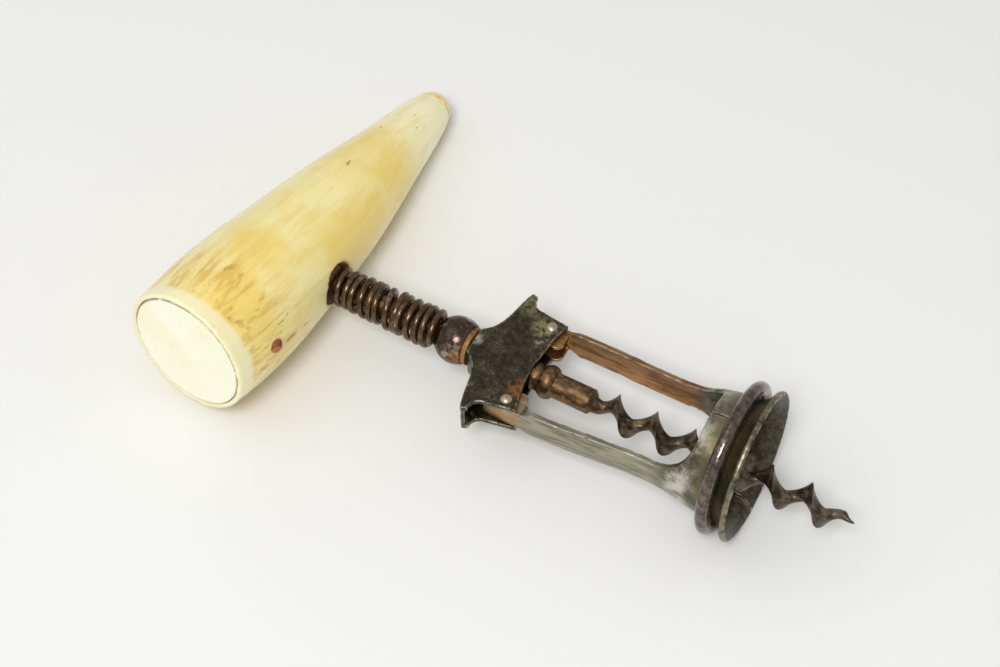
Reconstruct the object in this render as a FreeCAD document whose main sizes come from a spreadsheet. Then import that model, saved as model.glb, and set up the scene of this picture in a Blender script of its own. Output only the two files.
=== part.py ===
import FreeCAD, Part
import Sketcher
import math
import os

# A spring-assisted open-frame corkscrew with a tusk handle, lying on a table.
#
# Three sets of local axes are used, and a Placement takes each one to the model's own:
#   shank axes  +X along the shank towards the worm's point, x = 0 at the foot's plane
#   frame axes  the same for the split frame, which hangs a little out of line on the shank
#   tusk axes   origin at the centre of the tusk's thick end, +X along its axis there
# The model's own axes are +Z up and +X along the shank, and the table is z = 0.

SIZES = {
    # where things lie
    "shank_rise": 0.8,          # degrees, the shank climbs towards its point
    "frame_rise": 2.0,          # degrees
    "frame_yaw": 1.8,           # degrees, the frame hangs askew on the shank
    "joint_x": -51.8,           # where the shank's axis and the frame's cross
    # tusk handle
    "tusk_pitch": 6.0,          # degrees below level at the thick end
    "tusk_yaw": 6.0,            # degrees off square to the shank at the thick end
    "tusk_bend": 6.8,           # degrees from end to end
    "tusk_bend_roll": 22.7,     # degrees, the plane of the bend is tipped down
    "tusk_length": 93.7,
    "tusk_shank_at": 33.6,      # from the thick end to the shank
    "tusk_shank_x": -112.92,    # the tusk's axis on the shank
    "rebate_radius": 13.7,
    "rebate_depth": 3.0,
    "cavity_mouth_radius": 12.2,
    "cavity_end_radius": 4.0,
    "cavity_end": 58.0,
    "core_gap": 0.05,
    "no_gap": 0.0,
    "plug_edge": 0.35,
    "plug_dome": 0.25,
    "tip_radius": 4.6,
    "tip_length": 3.7,
    "tang_hole_radius": 2.35,
    "spot_face_radius": 5.0,
    "spot_face_x": -100.4,
    # pin in the side of the tusk
    "side_pin_along": 11.2,
    "side_pin_angle": -13.0,    # degrees up from level, on the shank's side
    "side_pin_radius": 1.1,
    "side_pin_head_radius": 1.6,
    "side_pin_head_height": 0.8,
    "side_pin_depth": 5.0,
    # ferrule and tang
    "ferrule_radius": 4.8,
    "ferrule_thickness": 1.0,
    "tang_end_x": -118.0,
    "burr_radius": 3.6,
    "burr_thickness": 1.2,
    "burr_rise": 0.2,           # how far the burr stands proud of the tang's end
    # shank and worm
    "shank_radius": 2.3,
    "rod_radius": 2.75,
    "rod_end_x": -36.6,
    "collar_x": -47.3,
    "collar_radius": 3.75,
    "collar_width": 3.2,
    "collar_top_x": -50.55,
    "collar_top_radius": 3.1,
    "worm_radius": 4.0,
    "worm_core": 0.35,
    "worm_pitch": 8.75,
    "worm_crest_x": -26.6,      # a crest on the near side, towards -Y, lies here
    "worm_point_x": 22.3,
    "worm_root_radius": 2.0,
    "worm_run_in": 3.4,
    "worm_run_out": 5.5,
    # spring
    "spring_start_x": -98.35,
    "spring_end_x": -74.15,
    "spring_turns": 12.5,
    "spring_top_radius": 3.75,
    "spring_foot_radius": 4.1,
    "spring_wire_radius": 0.8,
    # thrust ball and its washer
    "ball_x": -69.4,
    "ball_radius": 5.3,
    "ball_bore_radius": 2.45,
    "ball_seat_x": -66.6,
    "washer_radius": 4.2,
    "washer_thickness": 1.0,
    "washer_gap": 0.02,
    # head saddle
    "head_top_x": -65.3,
    "head_depth": 7.6,
    "head_gap": 5.4,
    "head_wall": 1.1,
    "head_bore_radius": 3.05,
    "neck_half_width": 3.2,
    "wing_x": -59.6,
    "wing_y": 16.6,
    "wing_lip_length": 1.4,
    "wing_lip_inset": 0.5,
    "wing_notch_x": -57.6,
    "wing_notch_y": 14.0,
    "shoulder_x": -56.0,
    "shoulder_y": 13.2,
    "skirt_x": -49.0,
    "skirt_y": 12.1,
    "skirt_hollow_x": -50.9,
    "head_gap_end_x": -40.0,
    "head_gap_overrun": 4.0,
    "hinge_x": -52.1,
    "hinge_y": 10.35,
    "pin_radius": 0.95,
    "pin_head_radius": 1.25,
    "pin_head_height": 0.55,
    "pin_hole_radius": 1.0,
    # frame halves
    "frame_wall": 1.2,
    "arm_radius": 11.9,
    "arm_width": 7.1,
    "arm_neck_width": 5.0,
    "arm_top_x": -57.0,
    "arm_neck_end_x": -48.2,
    "arm_shoulder_x": -45.8,
    "arm_middle_x": -30.0,
    "arm_end_x": -14.0,
    "arm_taper": 0.1,
    "arm_flare": 0.25,
    "ear_inset": 0.4,
    "ear_drop": 0.3,
    "ear_thickness": 0.9,
    "window_end_x": -11.1,
    "window_corner": 7.7,
    "window_top_x": -70.0,
    "window_reach": 40.0,
    "cup_x": -6.6,
    "cup_radius": 13.25,
    "bell_start_x": -3.6,
    "bell_x": -1.9,
    "foot_radius": 16.5,
    "foot_lip": 1.3,
    "split_angle": 179.5,
    # locking ring
    "ring_x": -5.3,
    "ring_radius": 15.25,
    "ring_wire_radius": 1.6,
    # lengths of the tools that cut holes, and the play round a pin and the burr
    "through_hole_length": 20.0,
    "core_hole_length": 40.0,
    "blind_hole_length": 10.0,
    "head_bore_length": 8.0,
    "washer_hole_length": 4.0,
    "pin_play": 0.02,
    "burr_play": 0.05,
}

# Radius of the tusk at equal steps from the thick end to the tip.
TUSK_RADII = [14.8, 15.5, 15.1, 13.9, 12.6, 11.0, 8.9, 7.0, 4.6]
TUSK_ALIASES = ["tusk_radius_" + letter for letter in "abcdefghi"]
CAVITY_LEAN_SHARE = 0.75        # the hollow leans with the tusk's axis at this share of its depth

# Rounding of the tip, as shares of its length and radius.
TIP_DOME = [(0.45, 0.83), (0.85, 0.48)]

# The head's top edge beyond the neck: down from the top, and out from the neck.
NECK_BEND = (2.6, 2.6)
NECK_RUN = (4.0, 6.8)

# Outline of an ear, along and across the frame, from the top of the arm round to its end.
EAR_TOP_Y = 9.2
EAR_BEND = (-55.6, 8.0)
EAR_BACK = (-54.0, 7.6)
EAR_TOE = (-50.4, 6.6)
EAR_HEEL = (-48.6, 7.1)
EAR_END_Y = 8.6

WORM_STEPS_PER_TURN = 12
WORM_POINTS_ROUND = 16
WORM_POINT_SHARE = 0.05         # the crest's radius at the very point, as a share of its full one
WORM_POINT_POWER = 1.3          # how fast the crest falls away towards the point
WORM_CORE_LIMIT = 0.8           # the core never passes this share of the crest
NEAR, FAR = "near", "far"
V = FreeCAD.Vector

doc = FreeCAD.newDocument("corkscrew")


# ---------------------------------------------------------------- sheet and helpers

def make_sheet():
    sheet = doc.addObject("Spreadsheet::Sheet", "Sizes")
    values = dict(SIZES)
    values.update(zip(TUSK_ALIASES, TUSK_RADII))
    for row, (alias, value) in enumerate(values.items(), start=1):
        sheet.set("A%d" % row, alias)
        sheet.set("B%d" % row, str(value))
        sheet.setAlias("B%d" % row, alias)
    doc.recompute()
    return sheet


sheet = make_sheet()


def size(alias):
    return float(getattr(sheet, alias))


def cell(alias):
    return "Sizes." + alias


def add_body(name):
    return doc.addObject("PartDesign::Body", name)


def origin_plane(body, role):
    for feature in body.Origin.OriginFeatures:
        if feature.Role == role:
            return feature
    raise ValueError(role)


def add_sketch(body, name, role="XY_Plane", offset=None):
    sketch = body.newObject("Sketcher::SketchObject", name)
    sketch.AttachmentSupport = [(origin_plane(body, role), "")]
    sketch.MapMode = "FlatFace"
    if offset is not None:
        sketch.AttachmentOffset = offset
    return sketch


def draw(sketch, edges):
    for edge in edges:
        sketch.addGeometry(edge, False)


def line(start, end):
    return Part.LineSegment(V(*start, 0), V(*end, 0))


def polyline(points, closed=True):
    ends = points[1:] + points[:1] if closed else points[1:]
    return [line(a, b) for a, b in zip(points, ends)]


def arc(start, middle, end):
    return Part.Arc(V(*start, 0), V(*middle, 0), V(*end, 0))


def spline(points):
    curve = Part.BSplineCurve()
    curve.interpolate([V(*p, 0) for p in points])
    return curve


def revolve(body, sketch, angle=360.0, midplane=False):
    feature = body.newObject("PartDesign::Revolution", "Turned")
    feature.Profile = sketch
    feature.ReferenceAxis = (sketch, ["H_Axis"])
    feature.Angle = angle
    feature.Midplane = midplane
    body.Tip = feature
    return feature


def pad(body, sketch, alias):
    """Pad a sketch by a size from the sheet, half each way."""
    feature = body.newObject("PartDesign::Pad", "Plate")
    feature.Profile = sketch
    feature.Midplane = True
    feature.setExpression("Length", cell(alias))
    body.Tip = feature
    return feature


def pocket_both_ways(body, sketch, alias=None):
    feature = body.newObject("PartDesign::Pocket", "Opening")
    feature.Profile = sketch
    feature.Midplane = True
    if alias is None:
        feature.Type = 1
    else:
        feature.setExpression("Length", cell(alias))
    body.Tip = feature
    return feature


def cylinder(name, radius, height, placement):
    feature = doc.addObject("Part::Cylinder", name)
    feature.setExpression("Radius", radius)
    feature.setExpression("Height", height)
    feature.Placement = placement
    return feature


def cut(name, base, tool):
    feature = doc.addObject("Part::Cut", name)
    feature.Base = base
    feature.Tool = tool
    return feature


def fuse(name, shapes):
    feature = doc.addObject("Part::MultiFuse", name)
    feature.Shapes = shapes
    return feature


ALONG_X = FreeCAD.Rotation(V(0, 0, 1), V(1, 0, 0))      # turns a Z primitive to lie along X


def on_x(x):
    return FreeCAD.Placement(V(x, 0, 0), ALONG_X)


# ---------------------------------------------------------------- local axes

def tusk_station(distance):
    """Place of a section of the tusk, in tusk axes: its axis is an arc in the XY plane."""
    bend = math.radians(size("tusk_bend"))
    radius = size("tusk_length") / bend
    angle = distance / radius
    centre = V(radius * math.sin(angle), radius * (1 - math.cos(angle)), 0)
    return FreeCAD.Placement(centre, FreeCAD.Rotation(V(0, 0, 1), math.degrees(angle)))


def tusk_placement():
    """Tusk axes to shank axes, with the tusk's axis crossing the shank's."""
    pitch = math.radians(size("tusk_pitch"))
    yaw = math.radians(size("tusk_yaw"))
    forward = V(math.sin(yaw) * math.cos(pitch), math.cos(yaw) * math.cos(pitch), -math.sin(pitch))
    roll = math.radians(size("tusk_bend_roll"))
    side = V(-math.cos(roll), 0, -math.sin(roll))
    upward = forward.cross(side)
    turn = FreeCAD.Rotation(forward, side, upward, "XZY")
    crossing = turn.multVec(tusk_station(size("tusk_shank_at")).Base)
    return FreeCAD.Placement(V(size("tusk_shank_x"), 0, 0) - crossing, turn)


def lying_placement(rise, yaw):
    """Local axes to the model's: both pass through the joint, over the ring's resting height."""
    turn = FreeCAD.Rotation(V(0, 0, 1), yaw).multiply(FreeCAD.Rotation(V(0, 1, 0), -rise))
    reach = size("ring_x") - size("joint_x")
    ring_height = size("ring_radius") + size("ring_wire_radius")
    height = ring_height - reach * math.sin(math.radians(size("frame_rise")))
    joint = V(size("joint_x"), 0, 0)
    return FreeCAD.Placement(V(size("joint_x"), 0, height) - turn.multVec(joint), turn)


SHANK = lying_placement(size("shank_rise"), 0.0)
FRAME = lying_placement(size("frame_rise"), size("frame_yaw"))
TUSK = tusk_placement()


# ---------------------------------------------------------------- handle

def tusk_body():
    """The tusk: a loft through round sections set along its bent axis."""
    body = add_body("TuskSolid")
    step = size("tusk_length") / (len(TUSK_RADII) - 1)
    sections = []
    for number in range(len(TUSK_RADII)):
        place = tusk_station(number * step).multiply(FreeCAD.Placement(V(), ALONG_X))
        sketch = add_sketch(body, "Section%d" % number, offset=place)
        sketch.addGeometry(Part.Circle(V(), V(0, 0, 1), TUSK_RADII[number]), False)
        sketch.addConstraint(Sketcher.Constraint("Coincident", 0, 3, -1, 1))
        row = sketch.addConstraint(Sketcher.Constraint("Radius", 0, TUSK_RADII[number]))
        sketch.setExpression("Constraints[%d]" % row, cell(TUSK_ALIASES[number]))
        sections.append(sketch)
    loft = body.newObject("PartDesign::AdditiveLoft", "Loft")
    loft.Profile = sections[0]
    loft.Sections = sections[1:]
    body.Tip = loft
    return body


def cavity(name, gap):
    """The tusk's natural hollow, a cone from the rebate towards the tip, less a gap all round."""
    cone = doc.addObject("Part::Cone", name)
    cone.setExpression("Radius1", "%s - %s" % (cell("cavity_mouth_radius"), cell(gap)))
    cone.setExpression("Radius2", "%s - %s" % (cell("cavity_end_radius"), cell(gap)))
    cone.setExpression("Height", "%s - %s - 2 * %s"
                       % (cell("cavity_end"), cell("rebate_depth"), cell(gap)))
    middle = tusk_station(size("cavity_end") * CAVITY_LEAN_SHARE).Rotation.Angle / 2
    lean = FreeCAD.Rotation(V(0, 0, 1), math.degrees(middle))
    start = V(size("rebate_depth") + size(gap), 0, 0)
    cone.Placement = TUSK.multiply(FreeCAD.Placement(start, lean.multiply(ALONG_X)))
    return cone


def side_pin_placement():
    """Where the pin enters the tusk's side, its head outward along local +X."""
    along = size("side_pin_along")
    angle = math.radians(size("side_pin_angle"))
    step = size("tusk_length") / (len(TUSK_RADII) - 1)
    before = int(along / step)
    part = along / step - before
    radius = TUSK_RADII[before] * (1 - part) + TUSK_RADII[before + 1] * part
    station = tusk_station(along)
    outward = V(0, -math.cos(angle), math.sin(angle))
    turn = FreeCAD.Rotation(V(1, 0, 0), outward)
    return TUSK.multiply(station).multiply(FreeCAD.Placement(outward * radius, turn))


def side_pin_hole(name, depth):
    """Tool that bores the pin's hole to a depth below the tusk's surface."""
    return cylinder(name, "%s + %s" % (cell("side_pin_radius"), cell("pin_play")),
                    cell("blind_hole_length"), side_pin_placement().multiply(on_x(-depth)))


def make_tusk_handle():
    solid = tusk_body()
    solid.Placement = TUSK
    rebate = cylinder("Rebate", cell("rebate_radius"), cell("rebate_depth"),
                      TUSK.multiply(on_x(0)))
    tang_hole = cylinder("TangHole", cell("tang_hole_radius"), cell("through_hole_length"),
                         on_x(size("tusk_shank_x")))
    spot_face = cylinder("SpotFace", cell("spot_face_radius"), cell("blind_hole_length"),
                         on_x(size("spot_face_x")))
    pin_hole = side_pin_hole("SidePinHole", size("blind_hole_length") - 1)
    tools = fuse("TuskTools", [rebate, cavity("Hollow", "no_gap"), tang_hole, spot_face, pin_hole])
    return finish("tusk_handle", cut("TuskHandle", solid, tools), SHANK)


def make_end_plug():
    body = add_body("EndPlug")
    sketch = add_sketch(body, "Disc")
    radius = size("rebate_radius") - size("core_gap")
    depth = size("rebate_depth") - size("core_gap")
    edge = size("plug_edge")
    dome = size("plug_dome")
    draw(sketch, [
        line((depth, 0), (depth, radius)),
        line((depth, radius), (edge, radius)),
        arc((edge, radius), (edge * 0.3, radius - edge * 0.3), (0, radius - edge)),
        line((0, radius - edge), (-dome, 0)),
        line((-dome, 0), (depth, 0)),
    ])
    revolve(body, sketch)
    return finish("end_plug", body, SHANK.multiply(TUSK))


def make_tip_cap():
    body = add_body("TipCap")
    sketch = add_sketch(body, "Dome")
    radius = size("tip_radius")
    length = size("tip_length")
    back = size("core_gap")
    corner = (back, radius - size("pin_play"))
    dome = [(length * along, radius * across) for along, across in TIP_DOME]
    draw(sketch, [
        line((back, 0), corner),
        spline([corner] + dome + [(length, 0)]),
        line((length, 0), (back, 0)),
    ])
    revolve(body, sketch)
    return finish("tip_cap", body, SHANK.multiply(TUSK).multiply(tusk_station(size("tusk_length"))))


def make_core_block():
    """Wooden core that fills the hollow and takes the tang and the side pin."""
    tang_hole = cylinder("CoreTangHole", cell("tang_hole_radius"), cell("core_hole_length"),
                         on_x(size("tang_end_x") - 7))
    burr_end = size("tang_end_x") + size("burr_thickness")
    burr_hole = cylinder("CoreBurrHole", "%s + %s" % (cell("burr_radius"), cell("burr_play")),
                         cell("blind_hole_length"), on_x(burr_end - size("blind_hole_length")))
    pin_hole = side_pin_hole("CorePinHole", size("side_pin_depth") + 0.1)
    plug_space = cylinder("CorePlugSpace", cell("rebate_radius"), cell("rebate_depth") + " + 1.05",
                          TUSK.multiply(on_x(-1)))
    tools = fuse("CoreTools", [tang_hole, burr_hole, pin_hole, plug_space])
    cone = cavity("CoreCone", "core_gap")
    return finish("core_block", cut("CoreBlock", cone, tools), SHANK)


def make_side_pin():
    body = add_body("SidePin")
    sketch = add_sketch(body, "Rivet")
    radius = size("side_pin_radius")
    head = size("side_pin_head_radius")
    height = size("side_pin_head_height")
    depth = size("side_pin_depth")
    draw(sketch, [
        line((-depth, 0), (-depth, radius)),
        line((-depth, radius), (0.1, radius)),
        line((0.1, radius), (0.1, head)),
        spline([(0.1, head), (height * 0.75, head * 0.7), (height + 0.1, 0)]),
        line((height + 0.1, 0), (-depth, 0)),
    ])
    revolve(body, sketch)
    return finish("handle_pin", body, SHANK.multiply(side_pin_placement()))


def make_ferrule():
    start = size("spot_face_x") + size("core_gap")
    disc = cylinder("FerruleDisc", cell("ferrule_radius"), cell("ferrule_thickness"), on_x(start))
    hole = cylinder("FerruleHole", cell("tang_hole_radius"), cell("washer_hole_length"),
                    on_x(start - 1))
    return finish("ferrule", cut("Ferrule", disc, hole), SHANK)


def make_tang_burr():
    start = size("tang_end_x") - size("burr_rise")
    disc = cylinder("BurrDisc", cell("burr_radius"), cell("burr_thickness"), on_x(start))
    hole = cylinder("BurrHole", cell("tang_hole_radius"), cell("washer_hole_length"),
                    on_x(start - 1))
    return finish("tang_burr", cut("TangBurr", disc, hole), SHANK)


# ---------------------------------------------------------------- shank and worm

def shank_body():
    """Tang, shank, collar and rod: one turned profile."""
    body = add_body("Shank")
    sketch = add_sketch(body, "Profile")
    thin = size("shank_radius")
    rod = size("rod_radius")
    collar = size("collar_radius")
    centre = size("collar_x")
    half = size("collar_width") / 2
    top = size("collar_top_x")
    top_radius = size("collar_top_radius")
    end = size("rod_end_x")
    chamfer = rod - size("worm_root_radius")
    draw(sketch, [
        line((size("tang_end_x"), 0), (size("tang_end_x"), thin)),
        line((size("tang_end_x"), thin), (top, thin)),
        line((top, thin), (top, top_radius)),
        arc((top, top_radius), (top + 0.8, top_radius - 0.25), (centre - half, top_radius)),
        arc((centre - half, top_radius), (centre, collar), (centre + half, rod)),
        line((centre + half, rod), (end - chamfer, rod)),
        line((end - chamfer, rod), (end, rod - chamfer)),
        line((end, rod - chamfer), (end, 0)),
        line((end, 0), (size("tang_end_x"), 0)),
    ])
    revolve(body, sketch)
    return body


def worm_turn(x):
    """Direction of the crest at x: right-handed, and on the near side at worm_crest_x."""
    turns = (x - size("worm_crest_x")) / size("worm_pitch")
    return turns * 2 * math.pi - math.pi / 2


def worm_radius_at(x, angle):
    """Radius of the worm: round at the rod, then one sharp crest that winds round a thin core."""
    root = size("worm_root_radius")
    rise = min(1.0, (x - size("rod_end_x")) / size("worm_run_in"))
    core = size("worm_core") + (root - size("worm_core")) * (1 - rise) ** 2
    crest = root + (size("worm_radius") - root) * rise
    left = max(0.0, size("worm_point_x") - x) / size("worm_run_out")
    crest *= min(1.0, WORM_POINT_SHARE + (1 - WORM_POINT_SHARE) * left ** WORM_POINT_POWER)
    core = min(core, crest * WORM_CORE_LIMIT)
    phase = abs(math.remainder(angle - worm_turn(x), 2 * math.pi)) / math.pi
    return core + (crest - core) * (1 - phase) ** 2


def worm_section(x):
    """Control points of the section at x, from the crest round to the crest again."""
    swell = 3 / (2 + math.cos(2 * math.pi / WORM_STEPS_PER_TURN))
    points = []
    for number in range(WORM_POINTS_ROUND):
        angle = worm_turn(x) + 2 * math.pi * number / WORM_POINTS_ROUND
        radius = worm_radius_at(x, angle) * swell
        points.append(V(x, radius * math.cos(angle), radius * math.sin(angle)))
    return points + points[:1]


def clamped_knots(points, degree):
    """Knots and multiplicities of a spline that starts and ends on its outer points."""
    spans = points - degree
    knots = [number / spans for number in range(spans + 1)]
    return knots, [degree + 1] + [1] * (spans - 1) + [degree + 1]


def worm_skin(rows, first, last):
    """Spline face over part of each section, from its point number first to last."""
    poles = [row[first:last + 1] for row in rows]
    along, along_times = clamped_knots(len(poles), 3)
    around, around_times = clamped_knots(len(poles[0]), 3)
    skin = Part.BSplineSurface()
    skin.buildFromPolesMultsKnots(poles, along_times, around_times, along, around, False, False, 3, 3)
    return skin.toShape()


def flat_end(skins, x):
    """Flat face that closes the skins at x."""
    edges = [edge for skin in skins for edge in skin.Edges
             if abs(edge.BoundBox.XMin - x) < 1e-4 and abs(edge.BoundBox.XMax - x) < 1e-4]
    return Part.Face(Part.Wire(Part.__sortEdges__(edges)))


def worm_solid():
    """The worm as two spline skins that meet along the crest, with a flat at each end."""
    start = size("rod_end_x")
    length = size("worm_point_x") - start
    steps = round(length / size("worm_pitch") * WORM_STEPS_PER_TURN)
    rows = [worm_section(start + length * number / steps) for number in range(steps + 1)]
    half = WORM_POINTS_ROUND // 2
    skins = [worm_skin(rows, 0, half), worm_skin(rows, half, WORM_POINTS_ROUND)]
    ends = [flat_end(skins, start), flat_end(skins, start + length)]
    faces = Part.makeCompound(skins + ends)
    faces.sewShape()
    solid = Part.Solid(faces.Shells[0])
    return solid.reversed() if solid.Volume < 0 else solid


def make_shank_worm():
    """One forging: the worm grows out of the flat end of the rod."""
    worm = doc.addObject("Part::Feature", "Worm")
    worm.Shape = worm_solid()
    return finish("shank_worm", fuse("ShankWorm", [shank_body(), worm]), SHANK)


# ---------------------------------------------------------------- spring and thrust ball

def make_spring():
    """Round wire wound a little wider towards the ball."""
    length = size("spring_end_x") - size("spring_start_x")
    helix = doc.addObject("Part::Helix", "SpringLine")
    helix.Pitch = length / size("spring_turns")
    helix.setExpression("Height", "%s - %s" % (cell("spring_end_x"), cell("spring_start_x")))
    helix.setExpression("Radius", cell("spring_top_radius"))
    widening = (size("spring_foot_radius") - size("spring_top_radius")) / length
    helix.Angle = math.degrees(math.atan(widening))
    ring = doc.addObject("Part::Circle", "SpringWire")
    ring.setExpression("Radius", cell("spring_wire_radius"))
    upright = FreeCAD.Rotation(V(0, 0, 1), V(0, 1, 0))
    ring.Placement = FreeCAD.Placement(V(size("spring_top_radius"), 0, 0), upright)
    doc.recompute()
    sweep = doc.addObject("Part::Sweep", "Spring")
    sweep.Sections = [ring]
    sweep.Spine = (helix, ["Edge%d" % (n + 1) for n in range(len(helix.Shape.Edges))])
    sweep.Solid = True
    sweep.Frenet = True
    return finish("spring", sweep, SHANK.multiply(on_x(size("spring_start_x"))))


def make_thrust_ball():
    """A bead with a flat seat, bored to slide on the shank."""
    body = add_body("ThrustBall")
    sketch = add_sketch(body, "Bead")
    bore = size("ball_bore_radius")
    radius = size("ball_radius")
    centre = size("ball_x")
    seat = size("ball_seat_x")
    top = centre - math.sqrt(radius ** 2 - bore ** 2)
    seat_radius = math.sqrt(radius ** 2 - (seat - centre) ** 2)
    draw(sketch, [
        arc((top, bore), (centre, radius), (seat, seat_radius)),
        line((seat, seat_radius), (seat, bore)),
        line((seat, bore), (top, bore)),
    ])
    revolve(body, sketch)
    return finish("thrust_ball", body, SHANK)


def make_thrust_washer():
    start = size("ball_seat_x") + size("washer_gap")
    disc = cylinder("WasherDisc", cell("washer_radius"), cell("washer_thickness"), on_x(start))
    hole = cylinder("WasherHole", cell("ball_bore_radius"), cell("washer_hole_length"),
                    on_x(start - 1))
    return finish("thrust_washer", cut("ThrustWasher", disc, hole), SHANK)


# ---------------------------------------------------------------- head

def head_top(y_sign, inset):
    """Top edge of the head from the neck out to a wing, set in from the outside by inset."""
    neck = size("neck_half_width")
    top = size("head_top_x") + inset
    wing_x = size("wing_x") + inset
    wing_y = size("wing_y")
    bends = [(top + down, y_sign * (neck + out)) for down, out in (NECK_BEND, NECK_RUN)]
    return [(top, y_sign * neck)] + bends + [(wing_x, y_sign * wing_y)]


def head_plate_edges():
    """Outline of a plate: neck, two flying wings and a hollowed lower edge."""
    top = size("head_top_x")
    neck = size("neck_half_width")
    edges = [line((top, -neck), (top, neck))]
    skirt = (size("skirt_x"), size("skirt_y"))
    for side in (1, -1):
        wing = (size("wing_x"), side * size("wing_y"))
        lip = (wing[0] + size("wing_lip_length"), side * (size("wing_y") - size("wing_lip_inset")))
        notch = (size("wing_notch_x"), side * size("wing_notch_y"))
        shoulder = (size("shoulder_x"), side * size("shoulder_y"))
        corner = (skirt[0], side * skirt[1])
        edges.append(spline(head_top(side, 0.0)))
        edges.append(line(wing, lip))
        edges.append(arc(lip, notch, shoulder))
        edges.append(line(shoulder, corner))
    edges.append(arc(skirt, (size("skirt_hollow_x"), 0), (skirt[0], -skirt[1])))
    return edges


def head_gap_edges():
    """The space between the plates: open below and at both sides, under the bent top."""
    wall = size("head_wall")
    outer = size("wing_y") + size("head_gap_overrun")
    end = size("head_gap_end_x")
    top = size("head_top_x") + wall
    neck = size("neck_half_width")
    edges = [line((top, -neck), (top, neck))]
    for side in (1, -1):
        wing = (size("wing_x") + wall, side * size("wing_y"))
        beside = (size("wing_x") + wall, side * outer)
        edges.append(spline(head_top(side, wall)))
        edges.append(line(wing, beside))
        edges.append(line(beside, (end, side * outer)))
    edges.append(line((end, outer), (end, -outer)))
    return edges


def hinge_hole(name, radius, side):
    """Tool that bores for a hinge pin, straight through on one side of the shank."""
    place = V(size("hinge_x"), side * size("hinge_y"), -size("through_hole_length") / 2)
    return cylinder(name, cell(radius), cell("through_hole_length"),
                    FreeCAD.Placement(place, FreeCAD.Rotation()))


def make_head_saddle():
    body = add_body("HeadBlank")
    outline = add_sketch(body, "Plates")
    draw(outline, head_plate_edges())
    pad(body, outline, "head_depth")
    gap = add_sketch(body, "Gap")
    draw(gap, head_gap_edges())
    pocket_both_ways(body, gap, "head_gap")
    bore = cylinder("HeadBore", cell("head_bore_radius"), cell("head_bore_length"),
                    on_x(size("head_top_x") - 3))
    holes = [hinge_hole("HeadHingeHole%d" % number, "pin_radius", side)
             for number, side in enumerate((1, -1))]
    tools = fuse("HeadTools", [bore] + holes)
    return finish("head_saddle", cut("HeadSaddle", body, tools), FRAME)


def make_hinge_pin(which, side):
    """Rivet with a low domed head on each plate."""
    body = add_body("HingePin" + which)
    sketch = add_sketch(body, "Profile")
    half = size("head_depth") / 2
    radius = size("pin_radius")
    head = size("pin_head_radius")
    height = size("pin_head_height")
    draw(sketch, [
        spline([(-half - height, 0), (-half - height * 0.7, head * 0.65), (-half, head)]),
        line((-half, head), (-half, radius)),
        line((-half, radius), (half, radius)),
        line((half, radius), (half, head)),
        spline([(half, head), (half + height * 0.7, head * 0.65), (half + height, 0)]),
        line((half + height, 0), (-half - height, 0)),
    ])
    revolve(body, sketch)
    upright = FreeCAD.Rotation(V(0, 1, 0), -90)
    place = FreeCAD.Placement(V(size("hinge_x"), side * size("hinge_y"), 0), upright)
    return finish("hinge_pin_" + which, body, FRAME.multiply(place))


# ---------------------------------------------------------------- split frame

def frame_profile():
    """Wall of the frame along its axis: arm, cup and bell-mouthed foot."""
    wall = size("frame_wall")
    arm = size("arm_radius")
    cup = size("cup_radius")
    foot = size("foot_radius")
    lip = size("foot_lip")
    top = (size("arm_top_x"), arm - size("arm_taper"))
    middle = (size("arm_middle_x"), arm)
    end = (size("arm_end_x"), arm + size("arm_flare"))
    bowl = (size("cup_x"), cup)
    outer = [top, middle, end, bowl, (size("bell_start_x"), cup + 0.35),
             (size("bell_x"), foot - 1.3), (-lip, foot - 0.25)]
    inner = [(0, foot - 0.45), (-0.7, foot - 1.9), (-2.8, cup - 0.5)]
    inner += [(x, radius - wall) for x, radius in (bowl, end, middle, top)]
    rim = arc(outer[-1], (-lip / 2, foot), inner[0])
    return [spline(outer), rim, spline(inner), line(inner[-1], outer[0])]


def window_edges(side):
    """What is cut away above the arm: the narrow neck in the head, the arm, the round end."""
    arm = size("arm_width") / 2
    neck = size("arm_neck_width") / 2
    end = size("window_end_x")
    corner = size("window_corner")
    centre = (end - corner, arm + corner)
    middle = (centre[0] + corner * math.sin(math.pi / 4), centre[1] - corner * math.cos(math.pi / 4))
    reach = size("window_reach")
    top = size("window_top_x")
    points = [(end, arm + corner), (end, reach), (top, reach), (top, neck),
              (size("arm_neck_end_x"), neck), (size("arm_shoulder_x"), arm), (centre[0], arm)]
    points = [(x, side * z) for x, z in points]
    edges = polyline(points, closed=False)
    edges.append(arc(points[-1], (middle[0], side * middle[1]), points[0]))
    return edges


def ear_edges():
    """One ear of the arm, bent in between the head's plates and rounded below."""
    outer = size("arm_radius") - size("ear_inset")
    top = size("arm_top_x") + size("ear_drop")
    end = size("arm_neck_end_x")
    return [line((top, outer), (top, EAR_TOP_Y)),
            arc((top, EAR_TOP_Y), EAR_BEND, EAR_BACK),
            line(EAR_BACK, EAR_TOE),
            arc(EAR_TOE, EAR_HEEL, (end, EAR_END_Y)),
            line((end, EAR_END_Y), (end, outer)),
            line((end, outer), (top, outer))]


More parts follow.
